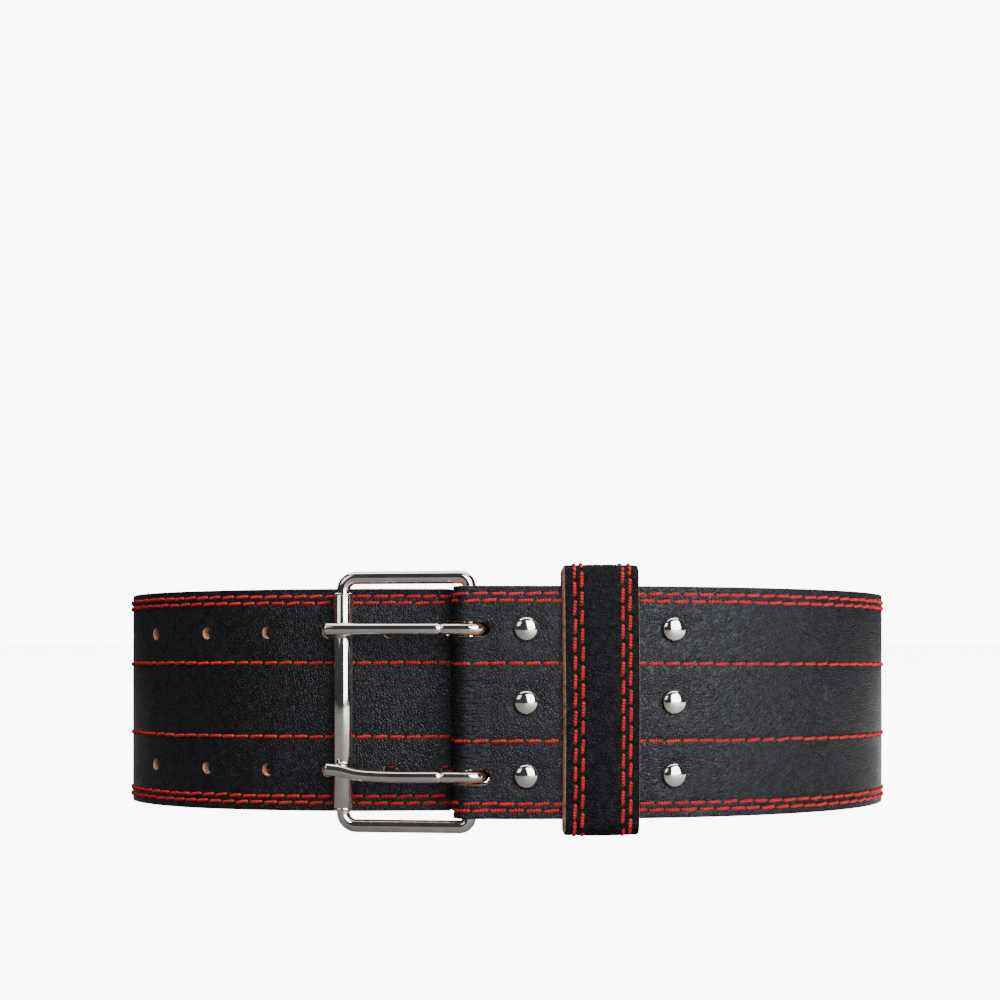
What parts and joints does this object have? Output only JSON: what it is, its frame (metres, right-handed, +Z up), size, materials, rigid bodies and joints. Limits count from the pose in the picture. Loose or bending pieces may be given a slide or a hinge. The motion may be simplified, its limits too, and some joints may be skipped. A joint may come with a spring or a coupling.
{
  "type": "weightlifting belt",
  "caption": "Wide black leather weightlifting belt fastened in a loop, with a double-prong roller buckle, keeper, rivets and a bare stitched patch.",
  "frame": {"origin": "on the floor under the middle of the belt's box", "axes": "+Z up, the buckle faces -Y, and the loop's long way is X"},
  "size_m": [0.379, 0.247, 0.1179],
  "materials": {
    "black_leather": "semi-gloss, fine pebbled grain",
    "patch_leather": "smooth satin",
    "nickel": "polished"
  },
  "bodies": {
    "root": {"strap": "black_leather", "keeper": "black_leather", "patch": "patch_leather", "buckle_frame": "nickel", "roller": "nickel", "prong_upper": "nickel", "prong_lower": "nickel", "rivet_1_bottom": "nickel", "rivet_1_middle": "nickel", "rivet_1_top": "nickel", "rivet_2_bottom": "nickel", "rivet_2_middle": "nickel", "rivet_2_top": "nickel"}
  },
  "joints": []
}
